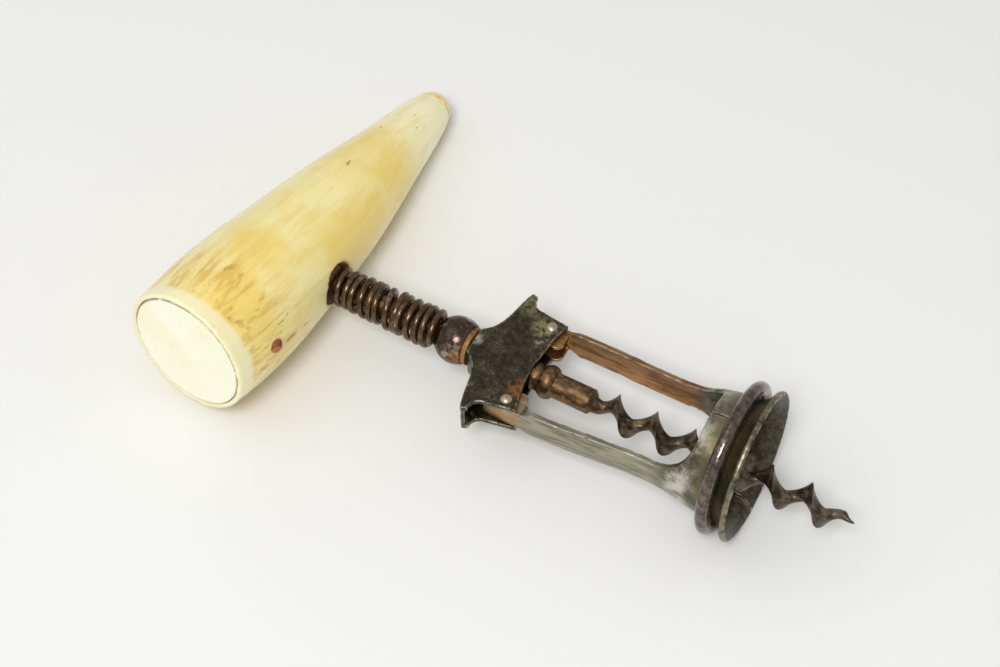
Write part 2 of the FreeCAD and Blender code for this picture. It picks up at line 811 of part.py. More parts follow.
def make_frame_half_far():
    body = add_body("FrameHalf")
    profile = add_sketch(body, "Wall")
    draw(profile, frame_profile())
    shell = revolve(body, profile, midplane=True)
    shell.setExpression("Angle", cell("split_angle"))
    for side in (1, -1):
        window = add_sketch(body, "Window", "XZ_Plane")
        draw(window, window_edges(side))
        pocket_both_ways(body, window)
    ears = add_sketch(body, "Ears")
    draw(ears, ear_edges())
    pad(body, ears, "arm_neck_width")
    between = add_sketch(body, "BetweenEars")
    top = size("window_top_x")
    end = size("head_gap_end_x")
    inside = size("arm_radius") - size("frame_wall")
    draw(between, polyline([(top, 0), (end, 0), (end, inside), (top, inside)]))
    slot = pocket_both_ways(body, between)
    slot.Type = 0
    slot.setExpression("Length", "%s - 2 * %s" % (cell("arm_neck_width"), cell("ear_thickness")))
    hole = hinge_hole("EarHoleFar", "pin_hole_radius", 1)
    return finish("frame_half_far", cut("FrameHalfFar", body, hole), FRAME)


def make_frame_half_near(far_half):
    """Mirror image of the far half."""
    mirror = doc.addObject("Part::Mirroring", "FrameHalfNear")
    mirror.Source = far_half.Base
    mirror.Normal = V(0, 1, 0)
    hole = hinge_hole("EarHoleNear", "pin_hole_radius", -1)
    return finish("frame_half_near", cut("FrameHalfNearCut", mirror, hole), FRAME)


def make_locking_ring():
    torus = doc.addObject("Part::Torus", "LockingRing")
    torus.setExpression("Radius1", cell("ring_radius"))
    torus.setExpression("Radius2", cell("ring_wire_radius"))
    return finish("locking_ring", torus, FRAME.multiply(on_x(size("ring_x"))))


# ---------------------------------------------------------------- assembly

PARTS = []


def finish(label, feature, placement):
    """Name a sub-part, put it in the model's axes and keep it for the end."""
    feature.Label = label
    feature.Placement = placement
    PARTS.append(feature)
    return feature


def build():
    make_tusk_handle()
    make_end_plug()
    make_tip_cap()
    make_core_block()
    make_side_pin()
    make_ferrule()
    make_tang_burr()
    make_shank_worm()
    make_spring()
    make_thrust_ball()
    make_thrust_washer()
    make_head_saddle()
    make_hinge_pin(FAR, 1)
    make_hinge_pin(NEAR, -1)
    far_half = make_frame_half_far()
    make_frame_half_near(far_half)
    make_locking_ring()
    doc.recompute()


def check():
    """Stop on any failed feature or any sub-part that is not one or more sound solids."""
    for feature in doc.Objects:
        for state in ("Invalid", "Error"):
            if state in feature.State:
                raise RuntimeError("%s: %s" % (feature.Name, feature.State))
    for part in PARTS:
        if part.Shape.isNull() or not part.Shape.isValid():
            raise RuntimeError("bad shape: " + part.Label)
        if not part.Shape.Solids:
            raise RuntimeError("no solid: " + part.Label)


def centre_on_table():
    """Move every sub-part so that the origin is at the middle of the object's base."""
    box = FreeCAD.BoundBox()
    for part in PARTS:
        box.add(part.Shape.optimalBoundingBox(False))
    shift = V(-box.Center.x, -box.Center.y, -box.ZMin)
    for part in PARTS:
        placement = part.Placement
        placement.Base = placement.Base + shift
        part.Placement = placement
    doc.recompute()
    return shift, box


def export():
    os.makedirs("parts", exist_ok=True)
    for part in PARTS:
        part.Shape.exportStep("parts/%s.step" % part.Label)
        print("%-16s solids %d  volume %9.1f mm3" %
              (part.Label, len(part.Shape.Solids), part.Shape.Volume))


build()
check()
shift, box = centre_on_table()
check()
export()
print("shift", tuple(round(c, 4) for c in shift))
print("box", [round(c, 2) for c in (box.XLength, box.YLength, box.ZLength)])
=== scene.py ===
"""Looks of a spring-assisted open-frame corkscrew with a tusk handle, lying on a pale table."""
import math

import bmesh
import bpy
import numpy as np
from mathutils import Matrix, Vector, noise


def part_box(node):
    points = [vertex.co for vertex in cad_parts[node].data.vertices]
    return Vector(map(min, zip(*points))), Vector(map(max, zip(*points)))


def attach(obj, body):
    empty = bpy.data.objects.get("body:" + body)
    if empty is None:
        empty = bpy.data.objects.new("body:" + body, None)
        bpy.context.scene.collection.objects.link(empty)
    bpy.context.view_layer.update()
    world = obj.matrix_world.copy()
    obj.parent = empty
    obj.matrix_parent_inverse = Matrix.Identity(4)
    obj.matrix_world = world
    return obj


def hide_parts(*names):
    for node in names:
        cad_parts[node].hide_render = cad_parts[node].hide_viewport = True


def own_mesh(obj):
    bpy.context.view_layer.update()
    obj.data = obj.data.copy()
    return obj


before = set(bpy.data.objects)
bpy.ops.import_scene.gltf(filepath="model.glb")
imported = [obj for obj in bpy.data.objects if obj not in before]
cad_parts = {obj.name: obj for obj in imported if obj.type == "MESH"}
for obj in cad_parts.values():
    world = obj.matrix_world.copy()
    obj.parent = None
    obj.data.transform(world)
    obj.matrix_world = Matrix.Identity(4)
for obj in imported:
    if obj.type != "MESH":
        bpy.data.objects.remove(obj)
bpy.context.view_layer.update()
MM = 0.001

# ---------------------------------------------------------------- axes of the parts


def origin_and_axes(origin, forward, side):
    """Local axes with +X forward and +Y as near to side as it can be, in metres."""
    x_axis = Vector(forward).normalized()
    z_axis = x_axis.cross(Vector(side)).normalized()
    y_axis = z_axis.cross(x_axis)
    turn = Matrix((x_axis, y_axis, z_axis)).transposed()
    return Matrix.Translation(origin) @ turn.to_4x4()


def middle(node):
    """Middle of a CAD node's bounding box, in metres."""
    low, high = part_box(node)
    return (low + high) / 2


def node_points(node):
    """Vertices of a CAD node's mesh, in metres."""
    return np.array([v.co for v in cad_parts[node].data.vertices], float)


BALL = middle("thrust_ball")
NEAR_PIN = middle("hinge_pin_near")
FAR_PIN = middle("hinge_pin_far")
RING = middle("locking_ring")
WASHER = middle("thrust_washer")
SHANK = origin_and_axes(BALL, WASHER - BALL, (0, 1, 0))
JOINT = (NEAR_PIN + FAR_PIN) / 2
FRAME = origin_and_axes(JOINT, RING - JOINT, FAR_PIN - NEAR_PIN)
PLUG = middle("end_plug")
TUSK_TIP = middle("tip_cap")
TUSK = origin_and_axes(PLUG, TUSK_TIP - PLUG, (0, 0, 1))
TIP_HALF_LENGTH = 1.85                  # mm


# ---------------------------------------------------------------- material nodes

class Paint:
    """A material under construction: each method adds a node and returns its output."""

    def __init__(self, name, axes):
        self.material = bpy.data.materials.new(name)
        self.material.use_nodes = True
        self.tree = self.material.node_tree
        self.shader = self.tree.nodes["Principled BSDF"]
        here = self.tree.nodes.new("ShaderNodeTexCoord").outputs["Object"]
        place = self.tree.nodes.new("ShaderNodeMapping")
        place.vector_type = "TEXTURE"
        place.inputs["Location"].default_value = axes.translation
        place.inputs["Rotation"].default_value = axes.to_euler()
        place.inputs["Scale"].default_value = (MM, MM, MM)
        self.tree.links.new(here, place.inputs["Vector"])
        self.here = place.outputs["Vector"]

    def feed(self, socket, value):
        """Set a socket to a number or colour, or link it to another node's output."""
        if isinstance(value, bpy.types.NodeSocket):
            self.tree.links.new(value, socket)
        else:
            socket.default_value = value

    def stretched(self, scale, offset=(0, 0, 0)):
        """Local position in mm, scaled along each axis."""
        node = self.tree.nodes.new("ShaderNodeMapping")
        node.inputs["Scale"].default_value = scale
        node.inputs["Location"].default_value = offset
        self.feed(node.inputs["Vector"], self.here)
        return node.outputs["Vector"]

    def noise(self, scale, detail=4.0, rough=0.55, where=None, distortion=0.0):
        """Noise from 0 to 1, with scale features to the millimetre."""
        node = self.tree.nodes.new("ShaderNodeTexNoise")
        self.feed(node.inputs["Vector"], where or self.here)
        node.inputs["Scale"].default_value = scale
        node.inputs["Detail"].default_value = detail
        node.inputs["Roughness"].default_value = rough
        node.inputs["Distortion"].default_value = distortion
        return node.outputs["Fac"]

    def axis(self, letter):
        """One coordinate of the local position, in mm."""
        node = self.tree.nodes.new("ShaderNodeSeparateXYZ")
        self.feed(node.inputs["Vector"], self.here)
        return node.outputs[letter]

    def off_axis(self):
        """Distance in mm from the local X axis."""
        node = self.tree.nodes.new("ShaderNodeVectorMath")
        node.operation = "LENGTH"
        self.feed(node.inputs[0], self.stretched((0, 1, 1)))
        return node.outputs["Value"]

    def away_from(self, point):
        """Distance in mm from a point in local axes."""
        node = self.tree.nodes.new("ShaderNodeVectorMath")
        node.operation = "DISTANCE"
        self.feed(node.inputs[0], self.here)
        self.feed(node.inputs[1], point)
        return node.outputs["Value"]

    def attribute(self, name):
        """A number that the mesh stores at each vertex."""
        node = self.tree.nodes.new("ShaderNodeAttribute")
        node.attribute_name = name
        return node.outputs["Fac"]

    def fade(self, value, low, high):
        """Smoothly from 0 at low to 1 at high."""
        node = self.tree.nodes.new("ShaderNodeMapRange")
        node.interpolation_type = "SMOOTHSTEP"
        node.inputs["From Min"].default_value = low
        node.inputs["From Max"].default_value = high
        self.feed(node.inputs["Value"], value)
        return node.outputs["Result"]

    def combine(self, operation, first, second):
        node = self.tree.nodes.new("ShaderNodeMath")
        node.operation = operation
        self.feed(node.inputs[0], first)
        self.feed(node.inputs[1], second)
        return node.outputs["Value"]

    def both(self, first, second):
        return self.combine("MULTIPLY", first, second)

    def either(self, first, second):
        return self.combine("MAXIMUM", first, second)

    def layer(self, amount, under, over):
        """Colour over laid on colour under by amount."""
        node = self.tree.nodes.new("ShaderNodeMix")
        node.data_type = "RGBA"
        self.feed(node.inputs["Factor"], amount)
        for socket, value in zip([s for s in node.inputs if s.type == "RGBA"], (under, over)):
            self.feed(socket, value)
        return next(s for s in node.outputs if s.type == "RGBA")

    def level(self, amount, under, over):
        """Number over laid on number under by amount."""
        node = self.tree.nodes.new("ShaderNodeMix")
        node.data_type = "FLOAT"
        self.feed(node.inputs["Factor"], amount)
        for socket, value in zip([s for s in node.inputs if s.type == "VALUE"][1:], (under, over)):
            self.feed(socket, value)
        return next(s for s in node.outputs if s.type == "VALUE")

    def bumps(self, *heights):
        """Stack height textures, each given with its depth in mm."""
        normal = None
        for height, depth in heights:
            node = self.tree.nodes.new("ShaderNodeBump")
            node.inputs["Distance"].default_value = depth * MM
            self.feed(node.inputs["Height"], height)
            if normal:
                self.feed(node.inputs["Normal"], normal)
            normal = node.outputs["Normal"]
        return normal

    def done(self, colour, rough, metal, normal, **uniform):
        """Feed the shader and return the material."""
        self.feed(self.shader.inputs["Base Color"], colour)
        self.feed(self.shader.inputs["Roughness"], rough)
        self.feed(self.shader.inputs["Metallic"], metal)
        self.feed(self.shader.inputs["Normal"], normal)
        for name, value in uniform.items():
            self.shader.inputs[name.replace("_", " ")].default_value = value
        return self.material


def rgb(red, green, blue):
    """A colour given as it looks on a screen, 0 to 255."""
    linear = [(c / 255 / 12.92) if c < 10.3 else ((c / 255 + 0.055) / 1.055) ** 2.4
              for c in (red, green, blue)]
    return (*linear, 1.0)


# ---------------------------------------------------------------- materials

RUST = rgb(128, 72, 36)


def tusk_material():
    """Polished tusk: warm cream, yellower in the middle, stained ochre round the thick rim."""
    p = Paint("tusk_ivory", TUSK)
    along = p.axis("X")
    cloud = p.noise(0.05, detail=5)
    body = p.layer(p.fade(cloud, 0.36, 0.64), rgb(248, 234, 168), rgb(243, 216, 120))
    body = p.layer(p.both(p.fade(along, 62, 84), 0.75), body, rgb(250, 244, 206))
    grain = p.noise(1.0, detail=6, where=p.stretched((0.05, 0.55, 0.55)), distortion=0.3)
    body = p.layer(p.both(p.fade(grain, 0.47, 0.64), 0.30), body, rgb(232, 198, 96))
    stain = p.noise(1.0, detail=7, rough=0.6, where=p.stretched((0.10, 0.62, 0.62), (7, 3, 1)))
    rim = p.both(p.fade(along, 22, 8), p.fade(along, 0.4, 2.5))
    ochre = p.both(p.fade(stain, 0.48, 0.62), rim)
    body = p.layer(p.both(ochre, 0.6), body, rgb(212, 166, 56))
    blotch = p.noise(0.5, detail=6, where=p.stretched((0.5, 1, 1), (3, 9, 2)))
    brown = p.both(p.fade(blotch, 0.57, 0.66), rim)
    body = p.layer(p.both(brown, 0.5), body, rgb(172, 118, 44))
    fleck = p.noise(1.0, detail=4, where=p.stretched((0.13, 0.34, 0.34), (31, 2, 9)))
    spots = p.fade(fleck, 0.665, 0.71)
    body = p.layer(p.both(spots, 0.85), body, rgb(176, 116, 38))
    pale_edge = p.fade(along, 2.2, 0.8)
    body = p.layer(p.both(pale_edge, 0.6), body, rgb(250, 243, 212))
    fine = p.noise(1.0, detail=3, where=p.stretched((0.3, 6, 6)))
    rough = p.level(p.either(ochre, spots), 0.22, 0.42)
    normal = p.bumps((cloud, 0.25), (grain, 0.04), (fine, 0.008), (spots, -0.06))
    return p.done(body, rough, 0.0, normal, Subsurface_Weight=0.3, Subsurface_Scale=2.5 * MM,
                  Subsurface_Radius=(1.0, 0.75, 0.4), Coat_Weight=0.4, Coat_Roughness=0.1)


def plug_material():
    """The end disc: paler than the tusk, faintly mottled, with a dark joint near its rim."""
    p = Paint("plug_ivory", TUSK)
    cloud = p.noise(0.09, detail=5)
    body = p.layer(p.fade(cloud, 0.3, 0.7), rgb(252, 250, 228), rgb(247, 243, 212))
    fine = p.noise(0.9, detail=5)
    body = p.layer(p.both(p.fade(fine, 0.55, 0.75), 0.3), body, rgb(222, 210, 160))
    joint = p.both(p.fade(p.off_axis(), 13.2, 13.6), p.fade(fine, 0.30, 0.50))
    body = p.layer(p.both(joint, 0.8), body, rgb(128, 98, 54))
    normal = p.bumps((cloud, 0.15), (fine, 0.015))
    return p.done(body, 0.33, 0.0, normal, Subsurface_Weight=0.25, Subsurface_Scale=2.5 * MM,
                  Subsurface_Radius=(1.0, 0.8, 0.5), Coat_Weight=0.2, Coat_Roughness=0.2)


def tip_material():
    """Honey-coloured tip, with a brown seam where it meets the tusk."""
    p = Paint("tip_amber", TUSK)
    cloud = p.noise(0.9, detail=5)
    body = p.layer(p.fade(cloud, 0.35, 0.65), rgb(250, 228, 156), rgb(238, 198, 112))
    base = (TUSK_TIP - PLUG).length / MM - TIP_HALF_LENGTH
    seam = p.fade(p.axis("X"), base + 0.45, base + 0.15)
    body = p.layer(p.both(seam, 0.55), body, rgb(130, 88, 42))
    return p.done(body, 0.3, 0.0, p.bumps((cloud, 0.05)), Coat_Weight=0.3)


def wood_material():
    """Brown wood, its grain along the tusk."""
    p = Paint("core_wood", TUSK)
    grain = p.noise(1.0, detail=6, where=p.stretched((0.08, 0.9, 0.9)))
    body = p.layer(p.fade(grain, 0.4, 0.6), rgb(120, 82, 48), rgb(160, 118, 72))
    return p.done(body, 0.75, 0.0, p.bumps((grain, 0.1)))


def metal_material(name, axes, clean, dark, rust, rust_share, clean_share, stretch=(1, 1, 1),
                   speckle=None, rough=0.38, pitting=0.05, tone=0.12, polish=0.8, patches=()):
    """Old steel: bare metal where it is worn, dark oxide, pits and rust.

    The edges that handling has polished come from the piece's wear attribute. Each patch is
    (point in mm, radius in mm, colour, strength) and lies round a point of the piece.
    """
    p = Paint(name, axes)
    where = p.stretched(stretch)
    broad = p.noise(0.16, detail=6, rough=0.6, where=where)
    mid = p.noise(0.75, detail=8, rough=0.66, where=where)
    fine = p.noise(4.2, detail=6, rough=0.7, where=where)
    scratch = p.noise(1.0, detail=5, where=p.stretched((0.35 * stretch[0], 5, 5)))
    body = p.layer(p.fade(mid, 0.38, 0.62), dark, [c * 1.9 for c in dark[:3]] + [1.0])
    bright = p.fade(p.combine("ADD", broad, p.both(mid, 0.5)), 0.86 - clean_share, 0.98 - clean_share)
    body = p.layer(p.both(bright, 0.85), body, clean)
    rusty = p.fade(p.combine("ADD", mid, p.both(fine, 0.3)), 0.80 - rust_share, 0.92 - rust_share)
    body = p.layer(p.both(rusty, 0.8), body, rust)
    if speckle:
        crust = p.fade(fine, 0.53, 0.62)
        spread = p.fade(p.noise(0.22, detail=4, where=p.stretched(stretch, (11, 5, 2))), 0.44, 0.60)
        body = p.layer(p.both(p.both(crust, spread), 0.75), body, speckle)
    for point, radius, colour, strength in patches:
        near = p.fade(p.away_from(point), radius, radius * 0.35)
        ragged = p.both(near, p.fade(mid, 0.36, 0.56))
        body = p.layer(p.both(ragged, strength), body, colour)
    wear = p.both(p.both(p.attribute("wear"), p.fade(mid, 0.38, 0.58)), polish)
    body = p.layer(wear, body, clean)
    shine = p.level(p.both(rusty, 0.8), rough, 0.72)
    shine = p.level(wear, shine, rough * 0.8)
    metal = p.level(rusty, 0.9, 0.35)
    normal = p.bumps((mid, pitting), (fine, pitting * 0.5), (scratch, pitting * 0.25), (broad, tone))
    return p.done(body, shine, metal, normal)


def pin_material():
    return metal_material("copper", SHANK, rgb(196, 122, 84), rgb(96, 48, 34), rgb(70, 38, 26),
                          0.05, 0.25, rough=0.25, pitting=0.02)


def ferrule_material():
    return metal_material("ferrule_iron", SHANK, rgb(90, 70, 52), rgb(36, 26, 20), rgb(96, 58, 30),
                          0.25, 0.0, rough=0.6)


def ball_material():
    """Dark polished steel, rusty beside the washer."""
    return metal_material("ball_steel", SHANK, rgb(166, 156, 140), rgb(66, 54, 46), rgb(112, 64, 38),
                          0.06, 0.08, rough=0.22, pitting=0.02, polish=0.15,
                          patches=[((3.8, -3.5, 0.5), 3.6, rgb(176, 108, 52), 0.8)])


def washer_material():
    return metal_material("washer_brass", SHANK, rgb(168, 134, 84), rgb(92, 70, 42),
                          rgb(150, 96, 46), 0.2, 0.2, rough=0.4, pitting=0.03)


def spring_material():
    return metal_material("spring_steel", SHANK, rgb(150, 134, 114), rgb(84, 66, 50),
                          rgb(134, 86, 52), 0.04, 0.02, rough=0.22, pitting=0.012, polish=0.4)


def head_material():
    """Dark plate with a pale crust, rust along its lower edge and a painted highlight on the fold at the
    neck.
    """
    patches = [
        ((0.8, -6.8, 4), 3.2, rgb(176, 112, 56), 0.7),
        ((-1.6, 9.4, 4), 3.4, rgb(186, 176, 120), 0.6),
        ((2.4, 4.5, 4), 3.0, rgb(150, 104, 54), 0.5),
        ((-6.2, 14.0, 4), 4.2, rgb(170, 164, 122), 0.55),
        # Painted highlight: a near-white spot on top of the bend at the neck.
        ((-12.6, 0.5, 4), 1.8, rgb(206, 198, 182), 0.8),
    ]
    return metal_material("head_steel", FRAME, rgb(186, 180, 158), rgb(56, 52, 42), RUST, 0.01, 0.0,
                          speckle=rgb(178, 170, 126), rough=0.34, pitting=0.09, polish=0.65,
                          patches=patches)


def rivet_material():
    return metal_material("rivet_steel", FRAME, rgb(196, 184, 160), rgb(116, 98, 76), RUST,
                          0.1, 0.4, rough=0.3, pitting=0.02)


def ring_material():
    return metal_material("ring_steel", FRAME, rgb(190, 180, 160), rgb(84, 74, 70), rgb(110, 80, 50),
                          0.02, 0.0, rough=0.17, pitting=0.012, polish=0.12)


def shank_material():
    """Brown rod, its rust lighter than the worm's dark edges."""
    p = Paint("shank_steel", SHANK)
    along = p.axis("X")
    mid = p.noise(0.7, detail=8, rough=0.66, where=p.stretched((0.6, 1, 1)))
    fine = p.noise(4.0, detail=6, rough=0.7)
    rod = p.layer(p.fade(mid, 0.38, 0.62), rgb(80, 62, 44), rgb(128, 98, 64))
    worm = p.layer(p.fade(mid, 0.38, 0.66), rgb(62, 55, 47), rgb(116, 100, 80))
    body = p.layer(p.fade(along, 30, 38), rod, worm)
    tan = p.fade(p.combine("ADD", mid, p.both(fine, 0.3)), 0.66, 0.80)
    body = p.layer(p.both(p.both(tan, p.fade(along, 60, 30)), 0.5), body, rgb(164, 116, 66))
    shine = p.level(tan, 0.34, 0.62)
    metal = p.level(tan, 0.8, 0.4)
    return p.done(body, shine, metal, p.bumps((mid, 0.06), (fine, 0.03)))


def frame_material(name, rusty_arm):
    """A frame half: the arm is grey or copper-brown, the cup has a grey-green patina, and its inner wall
    is darkened with painted shade.
    """
    p = Paint(name, FRAME)
    along = p.axis("X")
    grain = p.noise(1.0, detail=7, rough=0.62, where=p.stretched((0.14, 1.1, 1.1)))
    mid = p.noise(0.7, detail=8, rough=0.66)
    fine = p.noise(4.2, detail=6, rough=0.7)
    broad = p.noise(0.2, detail=5, rough=0.55)
    grey = p.layer(p.fade(grain, 0.34, 0.66), rgb(122, 117, 98), rgb(172, 168, 148))
    brown = p.layer(p.fade(grain, 0.36, 0.62), rgb(124, 84, 52), rgb(184, 140, 94))
    arm = p.layer(rusty_arm, grey, brown)
    streak = p.fade(p.combine("ADD", grain, p.both(fine, 0.25)), 0.70, 0.82)
    arm = p.layer(p.both(streak, 0.4), arm, rgb(150, 108, 62))
    cup = p.layer(p.fade(broad, 0.34, 0.66), rgb(92, 88, 66), rgb(128, 122, 96))
    silver = p.both(p.fade(along, 34, 38), p.fade(along, 45, 40))
    mottle = p.fade(p.combine("ADD", broad, p.both(fine, 0.6)), 0.70, 0.92)
    cup = p.layer(p.both(p.both(silver, mottle), 0.85), cup, rgb(216, 214, 204))
    lower = p.both(p.fade(along, 40, 47), p.fade(broad, 0.40, 0.60))
    cup = p.layer(p.both(lower, 0.55), cup, rgb(126, 96, 56))
    body = p.layer(p.fade(along, 32, 38), arm, cup)
    # Painted shade: the cup's inner wall, which faces the shank, is darkened as though in shadow.
    shaded_inner_wall = p.both(p.attribute("inside"), p.fade(along, 30, 40))
    inner_wall_shade = p.layer(p.fade(mid, 0.38, 0.62), rgb(50, 46, 40), rgb(88, 82, 72))
    body = p.layer(p.both(shaded_inner_wall, 0.9), body, inner_wall_shade)
    ears = p.both(p.fade(along, 6, 1), p.fade(mid, 0.34, 0.55))
    body = p.layer(p.both(ears, 0.8), body, rgb(172, 122, 56))
    wear = p.both(p.attribute("wear"), p.fade(mid, 0.40, 0.60))
    body = p.layer(p.both(wear, 0.6), body, rgb(186, 180, 162))
    shine = p.level(p.either(p.both(streak, 0.9), p.both(lower, 0.5)), 0.36, 0.62)
    shine = p.level(wear, shine, 0.26)
    metal = p.level(p.both(streak, 0.7), 0.92, 0.5)
    normal = p.bumps((grain, 0.05), (mid, 0.05), (fine, 0.03))
    return p.done(body, shine, metal, normal)


def materials():
    """The material of each CAD node and of the piece that replaces it."""
    made = {
        "tusk_handle": tusk_material(),
        "end_plug": plug_material(),
        "tip_cap": tip_material(),
        "core_block": wood_material(),
        "handle_pin": pin_material(),
        "ferrule": ferrule_material(),
        "thrust_ball": ball_material(),
        "thrust_washer": washer_material(),
        "spring": spring_material(),
        "shank_worm": shank_material(),
        "head_saddle": head_material(),
        "hinge_pin_near": rivet_material(),
        "frame_half_near": frame_material("near_half_steel", 0.0),
        "frame_half_far": frame_material("far_half_steel", 1.0),
        "locking_ring": ring_material(),
    }
    made["hinge_pin_far"] = made["hinge_pin_near"]
    made["tang_burr"] = made["ferrule"]
    return made


# ---------------------------------------------------------------- worn pieces

WEAR_REACH = 6                          # rounds of averaging that tell an edge from a face


def merged_copy(node):
    """The CAD node's shape as a new closed mesh."""
    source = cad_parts[node].data
    shape = bmesh.new()
    shape.from_mesh(source)
    bmesh.ops.remove_doubles(shape, verts=shape.verts, dist=1e-7)
    mesh = bpy.data.meshes.new(node + "_shape")
    shape.to_mesh(mesh)
    shape.free()
    return mesh


def remeshed(name, mesh, voxel):
    """An even mesh of the shape, whose hard edges come out slightly rounded."""
    piece = bpy.data.objects.new(name, mesh)
    bpy.context.scene.collection.objects.link(piece)
    modifier = piece.modifiers.new("Even", "REMESH")
    modifier.mode = "VOXEL"
    modifier.voxel_size = voxel * MM
    modifier.use_smooth_shade = True
    graph = bpy.context.evaluated_depsgraph_get()
    piece.data = bpy.data.meshes.new_from_object(piece.evaluated_get(graph))
    piece.modifiers.clear()
    return piece


def coordinates(mesh):
    """Places of the vertices, one row each."""
    points = np.empty(len(mesh.vertices) * 3)
    mesh.vertices.foreach_get("co", points)
    return points.reshape(-1, 3)


def normals(mesh):
    """Outward directions at the vertices, one row each."""
    arrows = np.empty(len(mesh.vertices) * 3)
    mesh.vertices.foreach_get("normal", arrows)
    return arrows.reshape(-1, 3)


def neighbour_mean(mesh, values, rounds):
    """Values averaged over each vertex's neighbours, a number of times."""
    ends = np.empty(len(mesh.edges) * 2, int)
    mesh.edges.foreach_get("vertices", ends)
    ends = ends.reshape(-1, 2)
    count = np.bincount(ends.ravel(), minlength=len(values)).astype(float)
    count[count == 0] = 1
    shape = (-1,) + (1,) * (values.ndim - 1)
    for _ in range(rounds):
        total = np.zeros_like(values)
        np.add.at(total, ends[:, 0], values[ends[:, 1]])
        np.add.at(total, ends[:, 1], values[ends[:, 0]])
        values = total / count.reshape(shape)
    return values


def mark_wear(mesh, reach):
    """Store how far each vertex stands proud of its surroundings, from 0 to 1."""
    points = coordinates(mesh)
    proud = ((points - neighbour_mean(mesh, points, reach)) * normals(mesh)).sum(axis=1)
    proud = neighbour_mean(mesh, proud, 2)
    top = max(np.percentile(proud, 98), 1e-9)
    attribute = mesh.attributes.new("wear", "FLOAT", "POINT")
    attribute.data.foreach_set("value", np.clip((proud / top - 0.35) / 0.5, 0, 1))


def mark_inside(mesh, axes):
    """Store which vertices face the part's own X axis, such as the inner wall of a cup."""
    turned = axes.inverted()
    points = np.array([turned @ Vector(p) for p in coordinates(mesh)])
    arrows = np.array([turned.to_3x3() @ Vector(n) for n in normals(mesh)])
    facing = -(points[:, 1:] * arrows[:, 1:]).sum(axis=1) / np.linalg.norm(points[:, 1:], axis=1)
    end = arrows[:, 0] > 0.6
    attribute = mesh.attributes.new("inside", "FLOAT", "POINT")
    attribute.data.foreach_set("value", np.clip(np.maximum((facing - 0.05) / 0.2, end), 0, 1))


def dented(mesh, depth, scale, seed):
    """Press the surface in by smooth noise, never out."""
    points = coordinates(mesh)
    arrows = normals(mesh)
    offset = Vector((seed * 7.3, seed * 3.1, seed * 5.7))
    rise = np.array([noise.noise(Vector(p) * (scale / MM) + offset) for p in points])
    fine = np.array([noise.noise(Vector(p) * (scale * 3.7 / MM) + offset) for p in points])
    press = np.clip(0.5 + 0.5 * rise + 0.25 * fine, 0, 1.2)
    mesh.vertices.foreach_set("co", (points - arrows * (press * depth * MM)[:, None]).ravel())
    mesh.update()


def finish_piece(piece, node, body, material):
    """Give a piece its material and slot, and put it in the node's place on its body."""
    for face in piece.data.polygons:
        face.use_smooth = True
    piece.data.materials.clear()
    piece.data.materials.append(material)
    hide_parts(node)
    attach(piece, body)


def worn_piece(node, body, material, voxel, depth, scale, seed):
    """The CAD piece again, with its edges softened and its faces uneven."""
    piece = remeshed(node + "_worn", merged_copy(node), voxel)
    piece.data.update()
    mark_wear(piece.data, WEAR_REACH)
    mark_inside(piece.data, FRAME)
    dented(piece.data, depth, scale, seed)
    finish_piece(piece, node, body, material)


# ---------------------------------------------------------------- spring

# Lengths are in mm.
SPRING_TURNS = 12.5
SPRING_WIRE = 0.76
SPRING_TOP_RADIUS = 3.72
SPRING_FOOT_RADIUS = 4.05
SPRING_STEPS = 40                       # in each turn
SPRING_SIDES = 12                       # of the wire
SPRING_BUNCH = 0.26                     # turns that the winding runs ahead or behind
SPRING_BUNCH_TURNS = 3.1                # from one bunch to the next
SPRING_SPREAD = 0.30                    # how far the radius strays
SPRING_DRAWN_IN = 0.05
SPRING_LEAN = 0.28


def spring_path():
    """Centre line of a hand-wound spring: its turns bunch, lean and differ in size."""
    to_shank = SHANK.inverted()
    points = [to_shank @ Vector(p) for p in node_points("spring")]
    start = min(p.x for p in points) / MM + SPRING_WIRE
    end = max(p.x for p in points) / MM - SPRING_WIRE
    steps = int(SPRING_TURNS * SPRING_STEPS)
    path = []
    for step in range(steps + 1):
        share = step / steps
        turn = share * SPRING_TURNS
        angle = 2 * math.pi * turn
        swell = math.sin(math.pi * share)
        bunch = SPRING_BUNCH * math.sin(2 * math.pi * turn / SPRING_BUNCH_TURNS) * swell
        along = start + (end - start) * (share + bunch / SPRING_TURNS)
        radius = SPRING_TOP_RADIUS + (SPRING_FOOT_RADIUS - SPRING_TOP_RADIUS) * share
        radius += SPRING_SPREAD * noise.noise(Vector((turn * 0.8, 4.0, 0))) - SPRING_DRAWN_IN
        radius = min(radius, SPRING_FOOT_RADIUS)
        lean = SPRING_LEAN * math.sin(angle + 0.8 * turn) * swell
        path.append(Vector((along + lean, radius * math.cos(angle), radius * math.sin(angle))) * MM)
    return path


